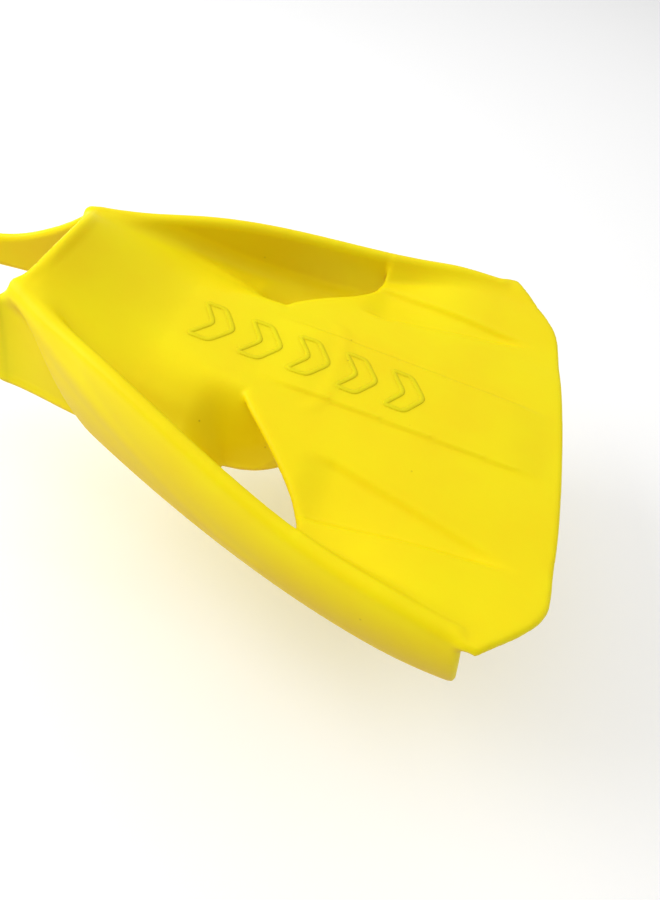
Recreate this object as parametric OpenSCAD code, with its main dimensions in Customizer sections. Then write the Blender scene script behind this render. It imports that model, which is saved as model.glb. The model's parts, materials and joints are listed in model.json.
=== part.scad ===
// Short training swim fin with an open heel, moulded in one colour of soft silicone.
// +X points from the heel to the blade tip, +Y to the wearer's left, +Z up from the ground.
// The origin lies on the ground under the middle of the fin's length.

/* [Lengths along the fin] */
// Back of the heel band
heel_x = -160; // [-168:1:-152]
// Rear edge of the instep where it meets the rails
collar_x = -43; // [-46:1:-40]
// Front of the toe box
toe_x = 70; // [68:1:71]
// Line about which the blade bends
flex_x = 72; // [71.5:0.5:74]
// Front end of both rails
rail_end_x = 128; // [122:1:132]
// Blade tip on the centreline
tip_x = 160; // [150:1:166]

/* [Widths] */
// Half the width across the rails at the instep edge
collar_half_w = 29; // [27:0.5:31]
// Half the width across the rails at their front ends
blade_half_w = 97; // [90:1:104]
// Half the width of the foot pocket at the ball of the foot
pocket_half_w = 40; // [38:0.5:42]
// Half the width inside the heel band
heel_half_w = 26; // [24:0.5:28]

/* [Heights] */
// Rail crest beside the instep
collar_z = 42; // [38:1:46]
// Rail crest ahead of the vents
rail_mid_z = 31; // [28:1:34]
// Rail crest at the blade tip
rail_tip_z = 29; // [26:1:32]
// Top of the instep arch at its rear edge
arch_z = 50; // [46:1:54]
// Height of the valley between the toe box and the rail
valley_z = 11; // [10:0.5:14]
// Height of the heel band behind the heel
band_h = 26; // [20:1:30]

/* [Silicone thickness] */
// Rails
rail_t = 5.5; // [4.5:0.5:6.5]
// Pocket walls, roof and gussets
wall_t = 3.5; // [3:0.5:4]
// Footbed
sole_t = 3; // [2.5:0.5:4]
// Blade
blade_t = 3.6; // [3:0.2:4.4]
// Heel band
band_t = 4; // [3:0.5:5]

/* [Hidden] */
$fn = 48;

gap = 0.5;                       // clearance at the two bending lines
bend = 30;                       // how far the blade bends each way, in degrees
strap_bend = 42;                 // room for the heel strap's swing
rail_lean = 2.5;                 // the rails' lower edges stand in by this much
flex_z = 24;                     // height of the blade's bending line
strap_x = -56;                   // bending line of the heel strap
strap_z = 19;
strap_r = 19;                    // rounded root of each strap arm
pocket_x = strap_x + 4;          // rear end of the footbed
sweep_in = 6;                    // how far the instep edge curves forward at its middle
shelf_half_w = 50;               // where the toe box has dropped to the valley
shoulder_x = 25;                 // rear point of each blade shoulder
shoulder_y = 20;
shoulder_end_y = 62;
panel_half_w = 18;               // raised panel along the blade's centreline
body_colour = [0.96, 0.85, 0.05];
rail_colour = [0.93, 0.80, 0.08];
trim_colour = [0.98, 0.90, 0.20];

function clamp01(t) = min(max(t, 0), 1);
function smooth(t) = let(c = clamp01(t)) c * c * (3 - 2 * c);
function mix(a, b, t) = a + (b - a) * t;
function steps(from, to, n) = [for (i = [0:n]) from + (to - from) * i / n];

// Plan of the rails: the half-width widens quickly behind the toes and runs straight at the tip
function rail_w(x) =
    let(t = clamp01((x - collar_x) / (rail_end_x + 4 - collar_x)))
    mix(blade_half_w, collar_half_w, pow(1 - t, 1.5));
function crest_z(x) =
    mix(collar_z, rail_mid_z, smooth((x + 8) / 100)) - (rail_mid_z - rail_tip_z) * smooth((x - 100) / 30);
// The lower edge leaves the pocket wall just behind the ball of the foot, and lifts a little at the tip
function rail_low_z(x) = 30 * (1 - smooth((x + 40) / 32)) + 3 * smooth((x - 105) / 30);

// Plan of the foot pocket: parallel sides and a blunt, rounded toe
function pocket_w(x) =
    let(back = mix(pocket_half_w - 6, pocket_half_w, smooth((x - pocket_x) / 45)),
        front = clamp01((x - 20) / (toe_x - 20)))
    back * pow(1 - pow(front, 3), 1 / 3);

// Roof of the pocket: an arch at the rear, a low dome over the toes, a valley beside each rail
function centre_z(x) =
    31 - 0.065 * (x - 6) + (x < 6 ? (arch_z - 34) * pow((6 - x) / 42, 1.6) : 0);
function trough_z(x) =
    valley_z + (collar_z + 1 - valley_z) * pow(1 - clamp01((x - collar_x - 3) / 100), 1.45);
function roof_z(x, y) =
    let(edge = min(rail_w(x) - rail_t, shelf_half_w),
        over_toes = smooth((x + 30) / 60),
        flat = 20 * over_toes,
        t = clamp01((abs(y) - flat) / (edge - flat)))
    mix(trough_z(x), centre_z(x), mix(1 - t * t, (1 + cos(180 * t)) / 2, over_toes));

// Blade: scooped between the rails, with a shallow channel on each side of the middle
function blade_z(x, y) =
    let(a = abs(y))
    centre_z(x) + (crest_z(x) - centre_z(x)) * pow(a / rail_w(x), 3)
    - 2.5 * exp(-pow((a - 56) / 14, 2));
// Front outline: a gently bowed tip whose corners are cut back
function tip_at(y) = tip_x - 2.2 * pow(y / 60, 2) - 3.8 * ln(1 + exp((abs(y) - 76) / 4));
// Rear outline of the blade shoulder, from its point out to the rail
function shoulder_at(y) = shoulder_x + 48.5 * sin(90 * clamp01((abs(y) - shoulder_y) / 62));

// Inner face of the rail at a height above the ground
function rail_in(x, z) = rail_w(x) - rail_t - rail_lean * (1 - z / crest_z(x));
// Where the underside of the pocket's roof and gussets meets the rail
function seat_w(x) = rail_in(x, trough_z(x) - wall_t) - 0.02;
// Front edge of the fixed parts: slopes back above and below the bending line to clear the blade
function clear_x(z) = flex_x - gap - 0.65 * abs(z - flex_z);

// A closed shell between two grids of points that have the same rows and columns
module shell(top, bottom) {
    rows = len(top);
    cols = len(top[0]);
    count = rows * cols;
    function at(i, j) = i * cols + j;
    function quad(a, b, c, d) = [[a, b, c], [a, c, d]];
    polyhedron(
        points = concat([for (row = top) each row], [for (row = bottom) each row]),
        faces = concat(
            [for (i = [0:rows - 2], j = [0:cols - 2])
                each quad(at(i, j), at(i, j + 1), at(i + 1, j + 1), at(i + 1, j))],
            [for (i = [0:rows - 2], j = [0:cols - 2])
                each quad(count + at(i + 1, j), count + at(i + 1, j + 1),
                          count + at(i, j + 1), count + at(i, j))],
            [for (i = [0:rows - 2])
                each quad(at(i, 0), at(i + 1, 0), count + at(i + 1, 0), count + at(i, 0))],
            [for (i = [0:rows - 2], j = [cols - 1])
                each quad(at(i + 1, j), at(i, j), count + at(i, j), count + at(i + 1, j))],
            [for (j = [0:cols - 2])
                each quad(at(0, j + 1), at(0, j), count + at(0, j), count + at(0, j + 1))],
            [for (j = [0:cols - 2], i = [rows - 1])
                each quad(at(i, j), at(i, j + 1), count + at(i, j + 1), count + at(i, j))]));
}

// An upright strip that stands on a plan path, from a lower to an upper height at each point
module strip(outer, inner, low, high) {
    function face(path) = [for (i = [0:len(path) - 1])
        [[path[i][0], path[i][1], low[i]], [path[i][0], path[i][1], high[i]]]];
    shell(face(inner), face(outer));
}

// Cuts away everything ahead of a bending line, with a round seat for the part that turns in it
module round_seat(x, z, r, half_angle) {
    rotate([90, 0, 0]) translate([0, 0, -150]) linear_extrude(300) {
        translate([x, z]) circle(r = r + gap);
        translate([x - (r + gap) * sin(half_angle), z - 100]) square([200, 200]);
    }
}

module side(s) { if (s > 0) children(); else mirror([0, 1, 0]) children(); }

module sole() {
    wide_x = -36;
    xs = steps(wide_x, toe_x - 0.05, 28);
    tail_w = pocket_half_w - 6 - band_t - 1;
    half = concat([[pocket_x, tail_w - 4], [pocket_x + 4, tail_w], [wide_x, tail_w]],
                  [for (x = xs) [x, pocket_w(x)]]);
    last = len(half) - 1;
    color(rail_colour) linear_extrude(sole_t)
        polygon(concat(half, [for (i = [last:-1:0]) [half[i][0], -half[i][1]]]));
}

// The pocket wall leans in towards its top at the rear, and stands upright beside the toes
function wall_foot_w(x) = x < pocket_x ? pocket_half_w - 6 : pocket_w(x);
function wall_top_w(x) =
    min(wall_foot_w(x), mix(collar_half_w, wall_foot_w(x), smooth((x - collar_x - 5) / 30)));
function wall_top_z(x) =
    x < collar_x ? collar_z - 0.25 * (collar_x - x) : roof_z(x, wall_top_w(x)) - wall_t;
module wall_solid(thickness) {
    xs = steps(pocket_x - strap_r, 40, 24);
    function face(inset) = [for (x = xs)
        [[x, wall_foot_w(x) - inset, sole_t], [x, wall_top_w(x) - inset, wall_top_z(x)]]];
    shell(face(thickness), face(0));
}
module side_wall(s) color(body_colour) side(s) difference() {
    wall_solid(wall_t);
    mirror([1, 0, 0]) round_seat(-strap_x, strap_z, strap_r, strap_bend);
}
module left_side_wall() side_wall(1);
module right_side_wall() side_wall(-1);

module toe_cap() {
    n = 36;
    back = 40;
    // Walks round the toe from one side wall to the other
    function around(i, inset) =
        let(t = -90 + 180 * i / n,
            k = pow(abs(sin(t)), 0.85) * sign(t),
            x = back + (toe_x - inset - back) * pow(cos(t), 0.8),
            w = pocket_w(back) - inset)
        [x, k * w];
    outer = [for (i = [0:n]) around(i, 0)];
    inner = [for (i = [0:n]) around(i, wall_t)];
    color(body_colour) strip(outer, inner, [for (p = outer) sole_t],
        [for (p = outer) roof_z(p[0], p[1]) - wall_t - 0.2]);
}

module instep() {
    rows = 30;
    cols = 28;
    function half(x) = min(pocket_w(min(x, 45)), seat_w(x));
    function start(v) = collar_x + sweep_in * (1 - v * v);
    function pt(i, j, drop) =
        let(v = -1 + 2 * j / cols,
            front = clear_x(roof_z(flex_x, v * half(flex_x)) - drop),
            x = mix(start(v), front, i / rows),
            y = v * half(x))
        [x, y, roof_z(x, y) - drop];
    color(body_colour) shell(
        [for (i = [0:rows]) [for (j = [0:cols]) pt(i, j, 0)]],
        [for (i = [0:rows]) [for (j = [0:cols]) pt(i, j, wall_t)]]);
}

// Soft rolled lip round the rear edge of the instep
module instep_rim() {
    n = 24;
    sides = 10;
    r = 1.75;
    function centre(v) =
        let(y = v * (collar_half_w - rail_t + 1),
            x = collar_x + sweep_in * (1 - pow(min(1, abs(y) / seat_w(collar_x)), 2)) - 0.03)
        [x - r, y, roof_z(x, y) - r];
    // Half of the round section at each point, away from the instep or towards it
    function half_round(way) = [for (i = [0:n]) let(c = centre(-1 + 2 * i / n))
        [for (k = [0:sides / 2]) let(t = 360 * k / sides) c + r * [way * sin(t), 0, cos(t)]]];
    color(trim_colour) shell(half_round(-1), half_round(0.98));
}

// Thin floor of the valley, from the pocket out to the rail, ending on the slanted edge of the vent
module gusset(s) {
    rows = 24;
    cols = 10;
    back = -9;
    vent_back = 38;
    vent_front = 66;
    function inner_y(x) = pocket_w(min(x, 45));
    // Meets the fixed rail, and stands clear of the part that bends with the blade
    function outer_y(x) = seat_w(x) - 3.4 * smooth((x - 36) / 10);
    // The vent edge curves forward as it nears the rail
    function end_x(v) = mix(vent_back, vent_front, pow(v, 1.6));
    // Towards the vent the floor drops to the sole beside the toes, and rises again to the rail
    function floor_z(x, y, v) =
        roof_z(x, y) - 9 * smooth((x - 10) / 28) * (1 - smooth(v)) + 3 * smooth((x - 30) / 30) * smooth(v);
    function pt(i, j, drop) =
        let(v = j / cols, x = mix(back, end_x(v), i / rows), y = mix(inner_y(x), outer_y(x), v))
        [x, y, floor_z(x, y, v) - drop];
    color(body_colour) side(s) shell(
        [for (i = [0:rows]) [for (j = [0:cols]) pt(i, j, 0)]],
        [for (i = [0:rows]) [for (j = [0:cols]) pt(i, j, wall_t)]]);
}
module left_gusset() gusset(1);
module right_gusset() gusset(-1);

module rail_solid(from, to, n) {
    xs = steps(from, to, n);
    function low_in(x) = rail_in(x, rail_low_z(x));
    shell([for (x = xs) [[x, low_in(x), rail_low_z(x)], [x, rail_w(x) - rail_t, crest_z(x)]]],
          [for (x = xs) [[x, low_in(x) + rail_t, rail_low_z(x)], [x, rail_w(x), crest_z(x)]]]);
}
module rail(s) color(rail_colour) side(s) difference() {
    rail_solid(collar_x, flex_x, 26);
    round_seat(flex_x, flex_z, flex_z, bend);
    wall_solid(3 * wall_t);
}
module left_rail() rail(1);
module right_rail() rail(-1);

// Rear part of the blade's scooped edge, which stands above the toe box
module shoulder(s) {
    cols = 6;
    ys = steps(shoulder_y + 3, shoulder_end_y, 16);
    // Near the middle the shoulder rests on the pocket's roof
    function lip(y, k, drop) =
        let(x = mix(shoulder_at(y), clear_x(blade_z(flex_x, y) - drop), k / cols))
        [x, y, drop == 0 ? blade_z(x, y) : max(blade_z(x, y) - drop, roof_z(x, y))];
    color(body_colour) side(s) shell(
        [for (k = [0:cols]) [for (y = ys) lip(y, k, 0)]],
        [for (k = [0:cols]) [for (y = ys) lip(y, k, wall_t)]]);
}
module left_shoulder() shoulder(1);
module right_shoulder() shoulder(-1);

module blade_plate() {
    rows = 24;
    cols = 48;
    corner_w = blade_half_w + 1;
    // Sits between the rails, and spreads past them at the tip's corners
    function half(x) = mix(rail_in(x, crest_z(x) - 2 * blade_t), corner_w, smooth((x - rail_end_x) / 4));
    function pt(i, j, drop) =
        let(v = -1 + 2 * j / cols,
            x = mix(flex_x + gap, tip_at(v * corner_w), i / rows),
            y = v * half(x))
        [x, y, blade_z(x, y) - drop];
    color(body_colour) shell(
        [for (i = [0:rows]) [for (j = [0:cols]) pt(i, j, 0)]],
        [for (i = [0:rows]) [for (j = [0:cols]) pt(i, j, blade_t)]]);
}

// Raised panel, a little proud of the blade
module centre_panel() {
    rows = 14;
    cols = 10;
    proud = 1;
    function pt(i, j, lift) =
        let(x = mix(flex_x + 4, tip_x - 12, i / rows), y = (-1 + 2 * j / cols) * panel_half_w)
        [x, y, blade_z(x, y) + lift];
    color(trim_colour) shell(
        [for (i = [0:rows]) [for (j = [0:cols]) pt(i, j, proud)]],
        [for (i = [0:rows]) [for (j = [0:cols]) pt(i, j, 0)]]);
}

// Low rib that runs along the channel and fades out before the tip
module rib(s) {
    n = 14;
    proud = 1;
    seat = 0.12;  // the flat facets of the blade stand this much above its true curve
    function pt(x, dy, lift) = let(y = mix(62, 56, (x - flex_x) / 66) + dy) [x, y, blade_z(x, y) + lift];
    xs = steps(flex_x + 6, flex_x + 66, n);
    color(trim_colour) side(s) shell(
        [for (x = xs) [pt(x, -2, 3 * seat), pt(x, 0, proud), pt(x, 2, 3 * seat)]],
        [for (x = xs) [pt(x, -2, seat), pt(x, 0, seat), pt(x, 2, seat)]]);
}
module left_rib() rib(1);
module right_rib() rib(-1);

module blade_rail(s) color(rail_colour) side(s) intersection() {
    rail_solid(flex_x - flex_z - 2, rail_end_x, 22);
    rotate([90, 0, 0]) translate([0, 0, -150]) linear_extrude(300) {
        translate([flex_x, flex_z]) circle(r = flex_z);
        translate([flex_x, -20]) square([200, 100]);
    }
}
module left_blade_rail() blade_rail(1);
module right_blade_rail() blade_rail(-1);

// Strap arm: nearly as tall as the pocket wall at its root, narrowing quickly towards the heel
arm_end_x = -118;
arm_low_z = 15;
band_low_z = 0.4;                // the strap's lower edge clears the ground
function arm_top_z(x) = mix(arm_low_z, collar_z, pow(clamp01((x + 90) / (90 + collar_x)), 1.6));
function arm_w(x) = mix(heel_half_w + band_t, pocket_half_w - 6, smooth((x - arm_end_x) / 60));
module strap_arm(s) {
    xs = steps(arm_end_x, strap_x + strap_r, 18);
    function face(inset) = [for (x = xs)
        [[x, arm_w(x) - inset, band_low_z], [x, arm_w(x) - inset, arm_top_z(min(x, strap_x))]]];
    color(body_colour) side(s) intersection() {
        shell(face(band_t), face(0));
        rotate([90, 0, 0]) translate([0, 0, -150]) linear_extrude(300) {
            translate([strap_x, strap_z]) circle(r = strap_r - 0.4);
            translate([-200, -20]) square([200 + strap_x, 100]);
        }
    }
}
module left_strap_arm() strap_arm(1);
module right_strap_arm() strap_arm(-1);

// Band behind the heel: rises a little off the ground and widens into a heel pad
module heel_band() {
    n = 40;
    reach = arm_end_x - heel_x;
    function around(i, inset) =
        let(t = -90 + 180 * i / n, w = heel_half_w + band_t - inset)
        [arm_end_x - (reach - inset) * pow(cos(t), 0.9), w * pow(abs(sin(t)), 0.9) * sign(-t)];
    heel_lift = 10;
    function behind(i) = pow(cos(-90 + 180 * i / n), 2);
    low = [for (i = [0:n]) band_low_z + heel_lift * behind(i)];
    high = [for (i = [0:n]) low[i] + mix(arm_low_z - band_low_z, band_h, behind(i))];
    outer = [for (i = [0:n]) around(i, 0)];
    inner = [for (i = [0:n]) around(i, band_t)];
    color(body_colour) strip(outer, inner, low, high);
}

sole();
toe_cap();
left_side_wall();
right_side_wall();
instep();
instep_rim();
left_gusset();
right_gusset();
left_rail();
right_rail();
left_shoulder();
right_shoulder();
blade_plate();
centre_panel();
left_rib();
right_rib();
left_blade_rail();
right_blade_rail();
left_strap_arm();
right_strap_arm();
heel_band();
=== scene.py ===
"""Short training swim fin, moulded in one piece of yellow silicone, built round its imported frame."""

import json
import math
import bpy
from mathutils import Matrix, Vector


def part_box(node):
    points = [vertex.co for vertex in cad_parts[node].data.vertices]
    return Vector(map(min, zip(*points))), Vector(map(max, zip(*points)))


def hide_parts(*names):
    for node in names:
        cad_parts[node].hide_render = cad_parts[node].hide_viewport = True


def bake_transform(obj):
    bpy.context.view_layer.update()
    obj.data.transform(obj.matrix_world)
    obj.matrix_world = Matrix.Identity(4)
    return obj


bl_info = {
    "name": "Training Fin",
    "version": (1, 0, 0),
    "blender": (4, 5, 0),
    "location": "View3D > Sidebar > Fin",
    "description": "Builds a one-piece silicone training fin round its packed frame",
    "category": "Add Mesh",
}

import bmesh
import bpy
import numpy as np
from bpy.props import FloatProperty, FloatVectorProperty, PointerProperty
from mathutils import Matrix, Vector

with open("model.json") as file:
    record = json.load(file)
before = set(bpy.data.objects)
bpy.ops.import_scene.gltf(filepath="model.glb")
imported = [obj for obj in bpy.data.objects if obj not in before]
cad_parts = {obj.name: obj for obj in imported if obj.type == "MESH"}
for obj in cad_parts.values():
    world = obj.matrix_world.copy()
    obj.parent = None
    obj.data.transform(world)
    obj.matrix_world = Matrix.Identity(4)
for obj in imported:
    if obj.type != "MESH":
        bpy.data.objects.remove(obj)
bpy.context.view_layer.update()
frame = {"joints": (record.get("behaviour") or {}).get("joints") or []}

LOW, HIGH = 0, 1
MM = 1000.0
JOINTS = {joint["name"]: joint for joint in frame["joints"]}
STRAP = Vector(JOINTS["strap_swing"]["pos_m"])


def reach(node, corner, axis):
    """How far a CAD node reaches along one axis, in metres."""
    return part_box(node)[corner]["xyz".index(axis)]


def length(name, default, description):
    """A length property in metres."""
    return FloatProperty(
        name=name, description=description, default=default, subtype="DISTANCE", unit="LENGTH", precision=4
    )


# ---------------------------------------------------------------------------------------------
# Sizes and finish that a user would change
# ---------------------------------------------------------------------------------------------


class FinSizes(bpy.types.PropertyGroup):
    """Driving sizes of the moulding, taken from the frame."""

    heel_x: length("Heel", reach("heel_band", LOW, "x"), "Back of the heel band")
    arm_x: length("Band start", reach("heel_band", HIGH, "x"), "Where the strap arms pass into the heel band")
    collar_x: length("Collar", reach("left_rail", LOW, "x"), "Rear edge of the instep at the rails")
    toe_x: length("Toe", reach("sole", HIGH, "x"), "Front of the toe box")
    rail_end_x: length("Rail end", reach("left_blade_rail", HIGH, "x"), "Front end of the rails")
    tip_x: length("Tip", reach("blade_plate", HIGH, "x"), "Blade tip on the centreline")
    collar_half_w: length("Collar half-width", 0.029, "Half the width across the rails at the instep edge")
    blade_half_w: length(
        "Blade half-width",
        reach("left_blade_rail", HIGH, "y") + 0.0003,
        "Half the width across the front ends of the rails",
    )
    pocket_half_w: length("Pocket half-width", reach("sole", HIGH, "y"), "Half the width of the foot pocket")
    heel_half_w: length("Heel half-width", reach("heel_band", HIGH, "y"), "Half the heel band's outer width")
    collar_z: length("Crest at the collar", reach("left_rail", HIGH, "z"), "Rail crest beside the instep")
    mid_z: length("Crest at the vents", 0.031, "Rail crest ahead of the vents")
    rail_tip_z: length("Crest at the tip", 0.029, "Rail crest at the front end of the rails")
    arch_z: length("Arch height", reach("instep", HIGH, "z"), "Top of the instep arch at its rear edge")
    toe_z: length("Toe height", 0.031, "Top of the pocket over the ball of the foot")
    valley_z: length("Valley height", 0.011, "Lowest part of the valley between pocket and rail")
    rail_t: length("Rail thickness", 0.0055, "Thickness of the rails")
    wall_t: length("Wall thickness", 0.0035, "Thickness of the pocket's roof and walls")
    sole_t: length("Sole thickness", reach("sole", HIGH, "z"), "Thickness of the footbed")
    blade_t: length("Blade thickness", 0.0034, "Thickness of the blade")
    cell: length("Mesh cell", 0.0013, "Size of one mesh cell on the moulded skin")


class FinFinish(bpy.types.PropertyGroup):
    """Colours and surface of the silicone, and the grey of the studio."""

    body: FloatVectorProperty(
        name="Silicone", description="Main colour", default=(0.89, 0.74, 0.004), subtype="COLOR", size=3
    )
    deep: FloatVectorProperty(
        name="Deep tone", description="Warmer tone in the mottling", default=(0.86, 0.60, 0.006),
        subtype="COLOR", size=3
    )
    # Painted shade: a darker colour that the material lays on faces looking sideways or down, standing in for
    # their shade
    side: FloatVectorProperty(
        name="Painted side shade", description="Painted shade on faces that look sideways or down",
        default=(0.66, 0.44, 0.006), subtype="COLOR", size=3
    )
    speck: FloatVectorProperty(
        name="Specks", description="Tiny dust specks", default=(0.40, 0.27, 0.01), subtype="COLOR", size=3
    )
    roughness: FloatProperty(
        name="Roughness", description="Middle roughness of the satin skin", default=0.44, min=0.0, max=1.0
    )
    glow: FloatProperty(
        name="Translucency", description="Share of light that enters the skin", default=0.28, min=0.0, max=1.0
    )
    glow_depth: length("Light depth", 0.006, "How deep light travels under the skin")
    floor: FloatVectorProperty(
        name="Floor", description="Studio floor", default=(0.95, 0.95, 0.95), subtype="COLOR", size=3
    )
    floor_drop: length("Floor drop", 0.075, "How far the floor lies below the fin, so that it can bend")


# ---------------------------------------------------------------------------------------------
# Form: heights and outlines of the moulding as formulas, in millimetres
# ---------------------------------------------------------------------------------------------


def clamp01(t):
    return np.clip(t, 0.0, 1.0)


def smooth(t):
    t = clamp01(t)
    return t * t * (3.0 - 2.0 * t)


def mix(a, b, t):
    return a + (b - a) * t


class FinForm:
    """The fin's curves and surfaces. x runs from heel to tip, a is the distance from the centreline."""

    RAIL_LEAN = 2.5
    COLLAR_SWEEP = 6.0
    LIP_START = (40.0, 28.0)
    LIP_REACH = (33.6, 48.0)
    VENT_BACK = (38.0, 40.0)
    VENT_FRONT_X = 66.0
    PANEL_HALF_W = 17.0
    PANEL_PROUD = 1.1
    CHANNEL_DEEP = 1.8

    def __init__(self, sizes):
        for name in sizes.__annotations__:
            setattr(self, name, getattr(sizes, name) * MM)

    def rail_w(self, x):
        """Half-width outside the rail crest."""
        t = clamp01((x - self.collar_x) / (self.rail_end_x + 4 - self.collar_x))
        return mix(self.blade_half_w, self.collar_half_w, (1 - t) ** 1.5)

    def rail_mid_w(self, x):
        """Half-width to the middle of the rail's thickness."""
        return float(self.rail_w(x)) - self.rail_t / 2

    def crest_z(self, x):
        """Top edge of the rail."""
        fall = mix(self.collar_z, self.mid_z, smooth((x + 8) / 100))
        return fall - (self.mid_z - self.rail_tip_z) * smooth((x - 100) / 30)

    def rail_low_z(self, x):
        """The rail's lower edge leaves the pocket wall at the rear and lifts a little at the tip."""
        return 37 * (1 - smooth((x + 42) / 34)) + 3 * smooth((x - 105) / 30)

    def pocket_w(self, x):
        """Half-width of the pocket up to the ball of the foot."""
        return mix(self.pocket_half_w - 6, self.pocket_half_w, smooth((x + 52) / 45))

    def toe_w(self, x):
        """Half-width of the blunt, rounded toe."""
        t = clamp01((x - 20) / (self.toe_x - 20))
        return self.pocket_half_w * (1 - t**3) ** (1 / 3)

    def centre_z(self, x):
        """Height of the upper surface along the centreline, without the panel."""
        rise = (self.arch_z - 34) * clamp01((6 - x) / 42) ** 1.6
        return self.toe_z - 0.065 * (x - 6) + rise

    def trough_z(self, x):
        """Floor of the valley beside the rail."""
        t = clamp01((x - self.collar_x - 3) / 100)
        return mix(self.valley_z, self.collar_z + 1, (1 - t) ** 1.45)

    def roof_z(self, x, a):
        """Top of the pocket: an arch at the rear, a dome over the toes, a valley beside each rail.

        The valley follows the dome's side down to the sole at the vent, and rises again to the rail.
        """
        inner_w = self.rail_w(x) - self.rail_t
        edge = np.minimum(inner_w, mix(50, 43, smooth((x - 12) / 24)))
        over_toes = smooth((x + 30) / 60)
        flat = mix(18, 24, smooth((x - 5) / 35)) * over_toes
        t = clamp01((a - flat) / (edge - flat))
        bump = mix(1 - t * t, (1 + np.cos(np.pi * t)) / 2, over_toes)
        foot = self.trough_z(x) - 12 * smooth((x - 23) / 16)
        towards_dome = 1 - clamp01((a - edge) / np.maximum(inner_w - edge, 4))
        valley = mix(self.trough_z(x), foot, towards_dome**2)
        under_blade = 0.8 * smooth((x - 38) / 14)
        return mix(valley, self.centre_z(x) + self.panel_relief(x, a), bump) - under_blade

    def panel_relief(self, x, a):
        """The middle panel stands proud of the blade and fades out at both ends."""
        along = smooth((x - 36) / 24) * (1 - smooth((x - 136) / 20))
        return self.PANEL_PROUD * (1 - smooth((a - self.PANEL_HALF_W) / 1.6)) * along

    def blade_z(self, x, a):
        """Top of the blade: scooped, with a raised middle panel and a tapering channel on each side."""
        below_crest = mix(10, 1.5, smooth((x - 70) / 55))
        scoop = (self.crest_z(x) - below_crest - self.centre_z(x)) * (a / self.rail_w(x)) ** 3
        scoop = scoop + below_crest * smooth((a - self.rail_w(x) + 11.5) / 10)
        dip = 2.4 * np.exp(-(((a - 60) / 16) ** 2))
        along = clamp01((x - 78) / 66)
        inner_edge = mix(41, 58, along)
        outer_edge = mix(66, 60, along)
        inside = smooth((a - inner_edge) / 4) * (1 - smooth((a - outer_edge) / 3))
        channel = self.CHANNEL_DEEP * inside * (1 - smooth((x - 128) / 20)) * smooth((x - 66) / 14)
        return self.centre_z(x) + self.panel_relief(x, a) + scoop - dip - channel

    def lip_x(self, a):
        """Leading edge of the blade, from its point on the toe box out to the rail."""
        turn = clamp01((a - self.LIP_START[1]) / self.LIP_REACH[1]) ** 1.18
        return self.LIP_START[0] + self.LIP_REACH[0] * np.sin(np.pi / 2 * turn)

    def tip_at(self, a):
        """Front edge of the blade: gently bowed, with cut-back corners."""
        return self.tip_x - 2.2 * (a / 60) ** 2 - 3.8 * np.log(1 + np.exp((a - 76) / 4))

    def band_low_z(self, x):
        """Lower edge of the strap arms and the heel band."""
        return 10 * smooth((-100 - x) / 55)

    def band_top_z(self, x):
        """Upper edge of the wall behind the collar, the strap arms and the heel band."""
        root = mix(15, self.collar_z, clamp01((x + 90) / (90 + self.collar_x)) ** 1.6)
        return root + self.band_low_z(x) + 11 * smooth((-100 - x) / 55)

    # Plan outlines, as closed lists of points ------------------------------------------------

    def loop_outline(self):
        """Outside of the foot pocket, the strap arms and the heel band, as one closed loop."""
        heel_t = np.linspace(0, np.pi / 2, 18)
        heel_long = self.heel_x - self.arm_x
        heel = [
            (self.arm_x + heel_long * math.cos(t) ** 0.9, self.heel_half_w * math.sin(t) ** 0.9)
            for t in heel_t
        ]
        arm_x = np.linspace(self.arm_x + 4, -56, 14)
        arm_w = mix(self.heel_half_w, self.pocket_half_w - 6, smooth((arm_x - self.arm_x) / 60))
        arms = [(x, float(w)) for x, w in zip(arm_x, arm_w)]
        sides = [(x, float(self.pocket_w(x))) for x in np.linspace(-50, 18, 18)]
        toe_t = np.linspace(0, np.pi / 2, 20)
        toe = [
            (20 + (self.toe_x - 20) * math.sin(t) ** (2 / 3), self.pocket_half_w * math.cos(t) ** (2 / 3))
            for t in toe_t
        ]
        return heel + arms + sides + toe

    def sole_outline(self):
        rear = [(-46 - 6 * (a / 30) ** 2, a) for a in np.linspace(0, 31, 8)]
        sides = [(x, float(self.pocket_w(x)) - 0.4) for x in np.linspace(-50, 18, 14)]
        toe = [(x, float(self.toe_w(x)) - 0.4) for x in np.linspace(22, self.toe_x - 0.1, 24)]
        return rear + sides + toe + [(self.toe_x - 0.4, 0)]

    def roof_outline(self):
        half = self.rail_mid_w(self.collar_x)
        rear_a = np.linspace(0, half, 12)
        rear = [(self.collar_x + self.COLLAR_SWEEP * (1 - (a / half) ** 2), a) for a in rear_a]
        sides = [(x, self.rail_mid_w(x)) for x in np.linspace(self.collar_x + 2, self.VENT_FRONT_X, 24)]
        reach_a = self.rail_mid_w(self.VENT_FRONT_X) - self.VENT_BACK[1]
        vent = [
            (mix(self.VENT_BACK[0], self.VENT_FRONT_X, v**1.25), self.VENT_BACK[1] + v * reach_a)
            for v in np.linspace(0.96, 0.04, 12)
        ]
        toe = [(x, float(self.toe_w(x)) - 0.4) for x in np.linspace(self.VENT_BACK[0], self.toe_x - 0.4, 22)]
        return rear + sides + vent + toe + [(self.toe_x - 0.4, 0)]

    def blade_outline(self):
        lip = [(float(self.lip_x(a)), a) for a in np.linspace(28, 80, 26)]
        sides = [(x, self.rail_mid_w(x)) for x in np.linspace(75, self.rail_end_x - 4, 14)]
        corner_a = self.blade_half_w + 1.3
        corner = [(self.rail_end_x, self.blade_half_w + 0.6)]
        tip = [(float(self.tip_at(a)), a) for a in np.linspace(corner_a, 0, 40)]
        return [(self.LIP_START[0], 0)] + lip + sides + corner + tip


# ---------------------------------------------------------------------------------------------
# Skin: the moulding as one distance field, meshed cell by cell
# ---------------------------------------------------------------------------------------------


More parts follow.
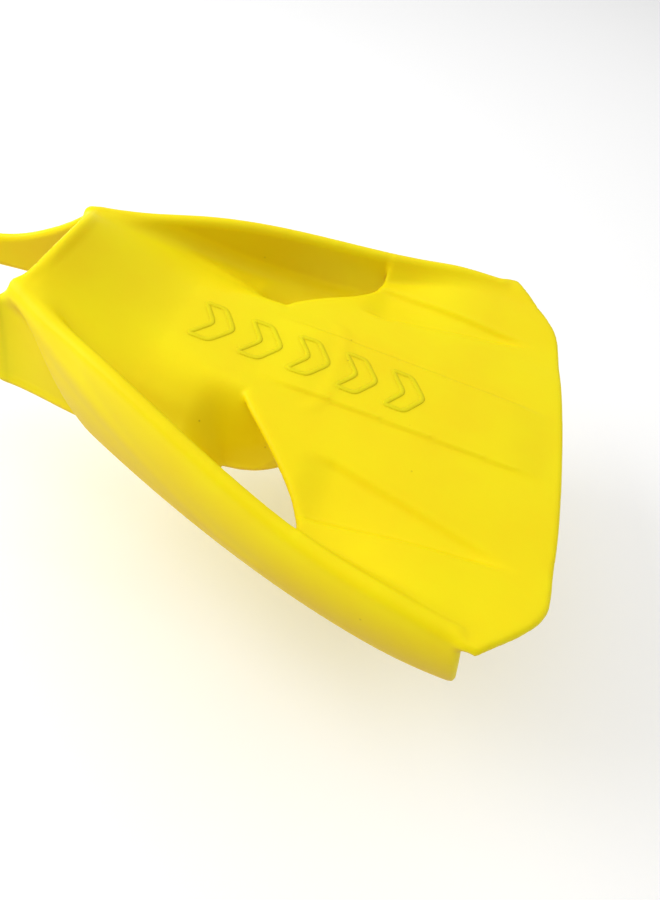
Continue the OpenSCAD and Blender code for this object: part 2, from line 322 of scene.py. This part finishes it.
def mirrored(half):
    """Closes a half outline, which runs from the rear to the front, with its mirror image."""
    other = [(x, -a) for x, a in reversed(half) if abs(a) > 1e-6]
    return np.array(list(half) + other, float)


def outline_distance(outline, x, y):
    """Distance to a closed outline in plan, negative inside."""
    x, y = np.broadcast_arrays(x, y)
    nearest = np.full(x.shape, 1e9)
    inside = np.zeros(x.shape, bool)
    for (ax, ay), (bx, by) in zip(outline, np.roll(outline, -1, axis=0)):
        ex, ey = bx - ax, by - ay
        along = clamp01(((x - ax) * ex + (y - ay) * ey) / (ex * ex + ey * ey + 1e-12))
        dx, dy = x - ax - along * ex, y - ay - along * ey
        nearest = np.minimum(nearest, dx * dx + dy * dy)
        if ay != by:
            crossed = ((ay > y) != (by > y)) & (x < (bx - ax) * (y - ay) / (by - ay) + ax)
            inside ^= crossed
    return np.where(inside, -1.0, 1.0) * np.sqrt(nearest)


def rounded(across, along, half_thick, half_long, radius):
    """Distance to a bar of rounded-rectangle section, from its offsets across and along the section."""
    qa = np.abs(across) - (half_thick - radius)
    qb = along - (half_long - radius)
    outside = np.hypot(np.maximum(qa, 0), np.maximum(qb, 0))
    return outside + np.minimum(np.maximum(qa, qb), 0) - radius


def soft_union(a, b, radius):
    """Joins two fields with a fillet of about the given radius."""
    h = clamp01(0.5 + 0.5 * (b - a) / radius)
    return mix(b, a, h) - radius * h * (1 - h)


def sheet(form_z, x, a, z, thick, edge):
    """A curved sheet whose top follows form_z and whose rim, at edge = 0, is fully rounded."""
    step = 0.5
    top = form_z(x, a)
    slope_x = (form_z(x + step, a) - form_z(x - step, a)) / (2 * step)
    slope_a = (form_z(x, a + step) - form_z(x, np.abs(a - step))) / (2 * step)
    tilt = np.sqrt(1 + slope_x**2 + slope_a**2)
    return rounded((z - top + thick / 2) / tilt, edge, thick / 2, 0.0, thick / 2)


def moulding_field(form):
    """The whole moulding as a function of position, negative inside the silicone."""
    loop = mirrored(form.loop_outline())
    sole = mirrored(form.sole_outline())
    roof = mirrored(form.roof_outline())
    blade = mirrored(form.blade_outline())
    rim_half = form.collar_half_w - form.rail_t / 2
    rim = [
        (
            form.collar_x + form.COLLAR_SWEEP * (1 - v * v) + 1.2,
            v * rim_half,
            float(form.roof_z(form.collar_x + 2, abs(v) * rim_half)) - 1.6,
        )
        for v in np.linspace(-1, 1, 25)
    ]

    def wall(x, a, z):
        plan = outline_distance(loop, x, a)
        lean = 5 * z / form.collar_z * smooth((x + 85) / 42) * (1 - smooth((x + 43) / 33))
        thick = form.wall_t + 0.4
        low = form.band_low_z(x)
        under_roof = form.roof_z(x, a) - 1.2
        top = np.where(x > form.collar_x, under_roof, form.band_top_z(x))
        middle, half = (top + low) / 2, (top - low) / 2
        return rounded(plan + lean + thick / 2, np.abs(z - middle), thick / 2, half, thick / 2 - 0.05)

    def footbed(x, a, z):
        plan = outline_distance(sole, x, a)
        return rounded(z - form.sole_t / 2, plan, form.sole_t / 2, 0.0, form.sole_t / 2)

    def rail(x, a, z):
        crest = form.crest_z(x)
        low = form.rail_low_z(x)
        slope = (form.rail_w(x + 1) - form.rail_w(x - 1)) / 2
        lean = form.RAIL_LEAN * (1 - z / crest)
        across = (a - form.rail_w(x) + form.rail_t / 2 + lean) / np.sqrt(1 + slope**2)
        # The outer face bulges between the crest and the lower edge
        bulge = 2.6 * (1 - clamp01(np.abs(2 * z / crest - 1)) ** 2)
        half_t = 0.46 * form.rail_t + bulge / 2
        body = rounded(across - bulge / 2, np.abs(z - (crest + low) / 2), half_t, (crest - low) / 2, 2.4)
        front = x - (form.rail_end_x + 7 - 7 * clamp01(z / form.rail_tip_z))
        back = form.collar_x - x
        return -soft_union(-body, -np.maximum(front, back), 2.5)

    def instep_rim(x, y, z):
        nearest = np.full(np.broadcast(x, y, z).shape, 1e9)
        for (ax, ay, az), (bx, by, bz) in zip(rim[:-1], rim[1:]):
            ex, ey, ez = bx - ax, by - ay, bz - az
            onto = (x - ax) * ex + (y - ay) * ey + (z - az) * ez
            along = clamp01(onto / (ex * ex + ey * ey + ez * ez))
            gap = (x - ax - along * ex) ** 2 + (y - ay - along * ey) ** 2 + (z - az - along * ez) ** 2
            nearest = np.minimum(nearest, gap)
        return np.sqrt(nearest) - 1.9

    def field(x, y, z):
        a = np.abs(y)
        pocket = soft_union(wall(x, a, z), footbed(x, a, z), 2.0)
        cover = sheet(form.roof_z, x, a, z, form.wall_t, outline_distance(roof, x, a))
        plate = sheet(form.blade_z, x, a, z, form.blade_t, outline_distance(blade, x, a))
        side_rail = rail(x, a, z)
        fillet = mix(8, 5, smooth((x + 20) / 50))
        upper = np.minimum(soft_union(cover, side_rail, fillet), soft_union(plate, side_rail, 2.0))
        whole = soft_union(upper, pocket, 4.0)
        return soft_union(whole, instep_rim(x, y, z), 2.0)

    return field


def surface_net(values, low, cell):
    """Vertices and quads on the zero surface of a grid of values, one vertex to each crossed cell."""
    shape = np.array(values.shape) - 1
    total = np.zeros((*shape, 3))
    count = np.zeros(shape)
    solid = values < 0
    base = np.stack(np.meshgrid(*[np.arange(n) for n in shape], indexing="ij"), axis=-1)

    def window(grid, at):
        return grid[tuple(slice(at[i], at[i] + shape[i]) for i in range(3))]

    for axis in range(3):
        unit = np.eye(3, dtype=int)[axis]
        others = [i for i in range(3) if i != axis]
        for corner in range(4):
            offset = np.zeros(3, int)
            offset[others[0]], offset[others[1]] = corner & 1, corner >> 1
            start, end = window(values, offset), window(values, offset + unit)
            crossed = window(solid, offset) != window(solid, offset + unit)
            share = start[crossed] / (start[crossed] - end[crossed])
            total[crossed] += base[crossed] + offset + share[:, None] * unit
            count[crossed] += 1
    used = count > 0
    number = np.full(shape, -1)
    number[used] = np.arange(used.sum())
    points = total[used] / count[used][:, None] * cell + low
    quads = []
    for axis in range(3):
        first, second = [i for i in range(3) if i != axis]
        unit = np.eye(3, dtype=int)
        ends = [slice(1, n) for n in shape]
        ends[axis] = slice(0, shape[axis])
        here = solid[tuple(ends)]
        ahead = list(ends)
        ahead[axis] = slice(1, shape[axis] + 1)
        there = solid[tuple(ahead)]
        spots = np.argwhere(here != there)
        spots = spots + [0 if i == axis else 1 for i in range(3)]
        around = [spots - unit[first] - unit[second], spots - unit[second], spots, spots - unit[first]]
        quad = np.stack([number[tuple(c.T)] for c in around], axis=1)
        outward = solid[tuple(spots.T)]
        flip = ~outward if axis != 1 else outward
        quad[flip] = quad[flip][:, ::-1]
        quads.append(quad)
    return points, np.concatenate(quads)


def settle(points, quads, field, rounds):
    """Evens out the vertices along the surface and brings each back onto it."""
    edges = np.concatenate([quads[:, [i, (i + 1) % 4]] for i in range(4)])
    both = np.concatenate([edges, edges[:, ::-1]])
    degree = np.bincount(both[:, 0], minlength=len(points))[:, None]
    step = 0.15
    for _ in range(rounds):
        ends = points[both[:, 1]]
        sums = [np.bincount(both[:, 0], weights=ends[:, i], minlength=len(points)) for i in range(3)]
        total = np.stack(sums, axis=1)
        points = mix(points, total / degree, 0.6)
        here = field(*points.T)
        slope = np.stack([field(*(points + step * unit).T) - here for unit in np.eye(3)], axis=1) / step
        size = np.maximum((slope**2).sum(axis=1), 0.25)
        move = np.clip(here / size, -0.6, 0.6)
        points = points - slope * move[:, None]
    return points


def skin_mesh(form):
    """Vertices in millimetres and quads of the whole moulding."""
    cell = form.cell * 1
    low = np.array([form.heel_x - 4, -form.blade_half_w - 6, -3.0])
    high = np.array([form.tip_x + 4, form.blade_half_w + 6, form.arch_z + 5])
    counts = np.ceil((high - low) / cell).astype(int) + 1
    low[1] = -(counts[1] - 1) * cell / 2
    x, y, z = [low[i] + cell * np.arange(counts[i]) for i in range(3)]
    field = moulding_field(form)
    values = field(x[:, None, None], y[None, :, None], z[None, None, :])
    points, quads = surface_net(values, low, cell)
    return settle(points, quads, field, 4), quads


# ---------------------------------------------------------------------------------------------
# Mesh helpers
# ---------------------------------------------------------------------------------------------


def new_piece(name, verts, faces, material):
    """A smooth-shaded mesh object from points in millimetres."""
    mesh = bpy.data.meshes.new(name)
    mesh.from_pydata((np.asarray(verts) / MM).tolist(), [], np.asarray(faces).tolist())
    mesh.update()
    mesh.shade_smooth()
    mesh.materials.append(material)
    piece = bpy.data.objects.new(name, mesh)
    bpy.context.scene.collection.objects.link(piece)
    return piece


def keep_between(mesh, low_x, high_x):
    """Cuts a closed mesh down to a span of x, in metres, and caps it where it was cut."""
    work = bmesh.new()
    work.from_mesh(mesh)
    for at, normal in ((low_x, -1), (high_x, 1)):
        if at is None:
            continue
        cut = bmesh.ops.bisect_plane(
            work,
            geom=work.verts[:] + work.edges[:] + work.faces[:],
            dist=1e-6,
            plane_co=(at, 0, 0),
            plane_no=(normal, 0, 0),
            clear_outer=True,
        )
        rim = [e for e in cut["geom_cut"] if isinstance(e, bmesh.types.BMEdge) and e.is_boundary]
        for edge in rim:
            edge.smooth = False
        bmesh.ops.triangle_fill(work, use_beauty=True, edges=rim, normal=(normal, 0, 0))
    bmesh.ops.recalc_face_normals(work, faces=work.faces[:])
    work.to_mesh(mesh)
    work.free()
    mesh.update()


# ---------------------------------------------------------------------------------------------
# Shader maths
# ---------------------------------------------------------------------------------------------


class Value:
    """A shader socket that takes part in ordinary arithmetic."""

    def __init__(self, shader, socket):
        self.shader = shader
        self.socket = socket

    def _math(self, operation, first, second):
        return self.shader.node("ShaderNodeMath", {"operation": operation}, {0: first, 1: second})

    def __add__(self, other):
        return self._math("ADD", self, other)

    def __radd__(self, other):
        return self._math("ADD", other, self)

    def __sub__(self, other):
        return self._math("SUBTRACT", self, other)

    def __rsub__(self, other):
        return self._math("SUBTRACT", other, self)

    def __mul__(self, other):
        return self._math("MULTIPLY", self, other)

    def __rmul__(self, other):
        return self._math("MULTIPLY", other, self)


class Shader:
    """Builds one material's nodes."""

    def __init__(self, name):
        self.material = bpy.data.materials.new(name)
        self.material.use_nodes = True
        self.tree = self.material.node_tree
        self.surface = self.tree.nodes["Principled BSDF"]

    def node(self, kind, settings=None, inputs=None, out=0):
        """Any node: its settings first, then the values or links of its sockets."""
        made = self.tree.nodes.new(kind)
        for name, value in (settings or {}).items():
            if name == "stops":
                for element, (position, level) in zip(made.color_ramp.elements, value):
                    element.position = position
                    element.color = (level, level, level, 1)
            else:
                setattr(made, name, value)
        self._fill(made, inputs or {})
        return Value(self, made.outputs[out])

    def _fill(self, made, inputs):
        for key, value in inputs.items():
            if isinstance(value, Value):
                self.tree.links.new(value.socket, made.inputs[key])
            else:
                made.inputs[key].default_value = value

    def blend(self, factor, first, second):
        """Mixes two colours."""
        return self.node("ShaderNodeMix", {"data_type": "RGBA"}, {0: factor, 6: first, 7: second}, out=2)

    def ramp(self, value, start, end):
        """0 up to start, 1 from end on, straight between."""
        return self.node("ShaderNodeValToRGB", {"stops": ((start, 0), (end, 1))}, {0: value})

    def finish(self, **sockets):
        """Fills the surface's sockets, each named with _ for a space, and gives the material."""
        self._fill(self.surface, {name.replace("_", " "): value for name, value in sockets.items()})
        return self.material


def silicone(finish):
    """Satin silicone: mottling, flow marks, mould grain, a few dust specks, and painted shade on the faces
    that look sideways or down.
    """
    shader = Shader("yellow_silicone")
    facing = shader.node("ShaderNodeTexCoord", out=1)
    place = shader.node("ShaderNodeTexCoord", out=3)

    def noise(scale, detail, roughness=0.5):
        inputs = {"Vector": place, "Scale": scale, "Detail": detail, "Roughness": roughness}
        return shader.node("ShaderNodeTexNoise", {}, inputs)

    clouds = noise(28.0, 3.0)
    flow = noise(75.0, 2.0)
    grain = noise(1900.0, 2.0, 0.6)
    orange_peel = noise(420.0, 2.0)
    dust = shader.node("ShaderNodeTexVoronoi", {}, {"Vector": place, "Scale": 95.0, "Randomness": 1.0})
    dust_mask = 1 - shader.ramp(dust, 0.030, 0.045)
    dust_patch = shader.ramp(noise(31.0, 1.0), 0.56, 0.66)
    tone = shader.blend(0.45 * shader.ramp(clouds, 0.35, 0.75), (*finish.body, 1), (*finish.deep, 1))
    # Painted shade: faces that look sideways or down, such as the rails' lower outer faces, are darkened
    # towards the side colour by their facing alone
    upward = shader.node("ShaderNodeSeparateXYZ", {}, {"Vector": facing}, out=2)
    painted_shade_mask = shader.ramp(0.15 - upward, 0.0, 0.40) * (1 - upward * upward)
    tone = shader.blend(0.9 * painted_shade_mask, tone, (*finish.side, 1))
    colour = shader.blend(0.55 * dust_mask * dust_patch, tone, (*finish.speck, 1))
    satin = finish.roughness + 0.10 * (flow - 0.5) + 0.06 * (grain - 0.5)
    height = 0.5 * orange_peel + 0.35 * grain + 0.4 * flow
    bump = shader.node("ShaderNodeBump", {}, {"Strength": 0.16, "Distance": 0.0004, "Height": height})
    surface = shader.surface
    surface.inputs["Subsurface Weight"].default_value = finish.glow
    surface.inputs["Subsurface Radius"].default_value = (1.0, 0.75, 0.12)
    surface.inputs["Subsurface Scale"].default_value = finish.glow_depth
    surface.inputs["Specular IOR Level"].default_value = 0.12
    surface.inputs["IOR"].default_value = 1.41
    return shader.finish(Base_Color=colour, Roughness=satin, Normal=bump)


def studio_floor(finish):
    """Plain pale floor with a trace of grain."""
    shader = Shader("studio_floor")
    grain = shader.node("ShaderNodeTexNoise", {}, {"Scale": 60.0, "Detail": 2.0})
    level = 0.9 + 0.02 * (grain - 0.5)
    shader.surface.inputs["Emission Color"].default_value = (1, 1, 1, 1)
    shader.surface.inputs["Emission Strength"].default_value = 0.1
    return shader.finish(Base_Color=(*finish.floor, 1), Roughness=level)


def material_once(name, make):
    """The material of that name, made the first time it is asked for."""
    return bpy.data.materials.get(name) or make(bpy.context.scene.fin_finish)


# ---------------------------------------------------------------------------------------------
# Operators
# ---------------------------------------------------------------------------------------------

POCKET_NODES = [
    "sole", "toe_cap", "left_side_wall", "right_side_wall", "instep", "instep_rim", "left_gusset",
    "right_gusset", "left_rail", "right_rail", "left_shoulder", "right_shoulder",
]
BLADE_NODES = ["blade_plate", "centre_panel", "left_rib", "right_rib", "left_blade_rail", "right_blade_rail"]
BAND_NODES = ["left_strap_arm", "right_strap_arm", "heel_band"]
BAND_BEND = (STRAP.x + 0.006, STRAP.x - 0.038)

# The row of chevrons, in millimetres
CHEVRONS = 5
CHEVRON_FIRST_X, CHEVRON_PITCH = 12.0, 19.0
CHEVRON_HALF_W, CHEVRON_DEEP, CHEVRON_LONG = 10.0, 6.5, 8.0
LINE_W, LINE_PROUD = 2.1, 0.34

# The stage: lights as name, place, size and watts, in metres
LIGHTS = (("key", (-0.70, -0.10, 0.50), 0.60, 5.5), ("top", (0.10, 0.40, 1.40), 2.40, 13.5))
LIT_POINT = Vector((0, 0, 0.02))
WORLD_STRENGTH = 0.45
FLOOR_HALF = 6.0
EYE = (0.0800, -0.2013, 0.1999)


def bend_with_blade(piece):
    """Bakes the piece's placement into its mesh; the piece does not bend."""
    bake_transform(piece)


class FIN_OT_moulding(bpy.types.Operator):
    """Builds the silicone moulding: foot pocket, blade with its rails, and heel strap"""

    bl_idname = "fin.moulding"
    bl_label = "Silicone moulding"

    def execute(self, context):
        form = FinForm(context.scene.fin_sizes)
        rubber = material_once("yellow_silicone", silicone)
        verts, quads = skin_mesh(form)
        split_x = BAND_BEND[0] + 0.002
        spans = {
            "fin_moulding": (split_x, None, POCKET_NODES + BLADE_NODES),
            "heel_strap_moulding": (None, split_x, BAND_NODES),
        }
        for name, (low_x, high_x, nodes) in spans.items():
            piece = new_piece(name, verts, quads, rubber)
            keep_between(piece.data, low_x, high_x)
            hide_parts(*nodes)
            if name == "heel_strap_moulding":
                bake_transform(piece)
            else:
                bend_with_blade(piece)
        return {"FINISHED"}


class FIN_OT_chevrons(bpy.types.Operator):
    """Builds the row of embossed chevrons along the middle of the fin"""

    bl_idname = "fin.chevrons"
    bl_label = "Embossed chevrons"

    def execute(self, context):
        form = FinForm(context.scene.fin_sizes)
        rubber = material_once("yellow_silicone", silicone)
        for index in range(CHEVRONS):
            outline = chevron_outline(CHEVRON_FIRST_X + CHEVRON_PITCH * index)
            verts, faces = embossed_line(form, outline, LINE_W, LINE_PROUD)
            piece = new_piece(f"chevron_{index + 1}", verts, faces, rubber)
            bend_with_blade(piece)
        return {"FINISHED"}


def chevron_outline(x):
    """Corners of one hollow chevron that points to the tip."""
    rear = [(x, -CHEVRON_HALF_W), (x + CHEVRON_DEEP, 0), (x, CHEVRON_HALF_W)]
    return rear + [(px + CHEVRON_LONG, py) for px, py in reversed(rear)]


def embossed_line(form, corners, width, height):
    """A closed raised line, round on top, that lies on the fin's upper surface."""
    path = []
    for (ax, ay), (bx, by) in zip(corners, corners[1:] + corners[:1]):
        for step in range(8):
            path.append((mix(ax, bx, step / 8), mix(ay, by, step / 8)))
    path = np.array(path)
    for _ in range(2):
        path = (np.roll(path, 1, axis=0) + 2 * path + np.roll(path, -1, axis=0)) / 4
    along = np.roll(path, -1, axis=0) - np.roll(path, 1, axis=0)
    along /= np.linalg.norm(along, axis=1)[:, None]
    side = np.stack([-along[:, 1], along[:, 0]], axis=1)
    angles = np.linspace(0, 2 * np.pi, 10, endpoint=False)
    verts = []
    for point, out in zip(path, side):
        for angle in angles:
            px, py = point + out * math.cos(angle) * width / 2
            verts.append((px, py, float(top_of_skin(form, px, abs(py))) + height * math.sin(angle)))
    rings, sides = len(path), len(angles)
    faces = []
    for i in range(rings):
        here, ahead = i * sides, (i + 1) % rings * sides
        for k in range(sides):
            beside = (k + 1) % sides
            faces.append((here + k, here + beside, ahead + beside, ahead + k))
    return verts, faces


def top_of_skin(form, x, a):
    """Height of the fin's upper surface near the centreline."""
    return np.where(x > form.LIP_START[0], form.blade_z(x, a), form.roof_z(x, a))


class FIN_OT_stage(bpy.types.Operator):
    """Sets up the pale floor, the soft lights and the camera"""

    bl_idname = "fin.stage"
    bl_label = "Studio stage"

    def execute(self, context):
        scene = context.scene
        finish = scene.fin_finish
        floor_mesh = bpy.data.meshes.new("floor")
        corners = [(i * FLOOR_HALF, j * FLOOR_HALF, 0) for i, j in ((-1, -1), (1, -1), (1, 1), (-1, 1))]
        floor_mesh.from_pydata(corners, [], [(0, 1, 2, 3)])
        floor_mesh.materials.append(material_once("studio_floor", studio_floor))
        floor = bpy.data.objects.new("floor", floor_mesh)
        floor.location.z = -finish.floor_drop
        scene.collection.objects.link(floor)
        world = bpy.data.worlds.new("studio")
        world.use_nodes = True
        background = world.node_tree.nodes["Background"]
        background.inputs["Color"].default_value = (1, 1, 1, 1)
        background.inputs["Strength"].default_value = WORLD_STRENGTH
        scene.world = world
        scene.view_settings.view_transform = "Standard"
        for light in LIGHTS:
            add_area(*light)
        add_camera(scene)
        return {"FINISHED"}


def add_area(name, place, size, watts):
    """A square soft light that faces the middle of the fin."""
    light = bpy.data.lights.new(name, "AREA")
    light.size = size
    light.energy = watts
    lamp = bpy.data.objects.new(name, light)
    lamp.location = place
    lamp.rotation_euler = (LIT_POINT - Vector(place)).to_track_quat("-Z", "Y").to_euler()
    bpy.context.scene.collection.objects.link(lamp)


def add_camera(scene):
    """A wide lens close above the near rail, looking across to the blade."""
    data = bpy.data.cameras.new("camera")
    data.lens = 28.0
    data.sensor_width = 36.0
    data.clip_start = 0.01
    right = Vector((0.9509, 0.2392, 0.1965))
    down = Vector((0.3089, -0.6924, -0.6521))
    forward = right.cross(down).normalized()
    up = right.cross(forward).normalized()
    camera = bpy.data.objects.new("camera", data)
    turn = Matrix((right.normalized(), up, -forward)).transposed().to_4x4()
    camera.matrix_world = Matrix.Translation(EYE) @ turn
    scene.collection.objects.link(camera)
    scene.camera = camera


class FIN_PT_panel(bpy.types.Panel):
    """Lists the fin's pieces in the sidebar"""

    bl_label = "Training fin"
    bl_idname = "FIN_PT_panel"
    bl_space_type = "VIEW_3D"
    bl_region_type = "UI"
    bl_category = "Fin"

    def draw(self, context):
        for operator in OPERATORS:
            self.layout.operator(operator.bl_idname)
        for group in (context.scene.fin_sizes, context.scene.fin_finish):
            box = self.layout.box()
            for name in group.__annotations__:
                box.prop(group, name)


OPERATORS = (FIN_OT_moulding, FIN_OT_chevrons, FIN_OT_stage)
CLASSES = (FinSizes, FinFinish, *OPERATORS, FIN_PT_panel)


def register():
    for cls in CLASSES:
        bpy.utils.register_class(cls)
    bpy.types.Scene.fin_sizes = PointerProperty(type=FinSizes)
    bpy.types.Scene.fin_finish = PointerProperty(type=FinFinish)


def unregister():
    del bpy.types.Scene.fin_finish
    del bpy.types.Scene.fin_sizes
    for cls in reversed(CLASSES):
        bpy.utils.unregister_class(cls)


def main():
    register()
    bpy.ops.fin.stage()
    bpy.ops.fin.moulding()
    bpy.ops.fin.chevrons()


if __name__ == "__main__":
    main()
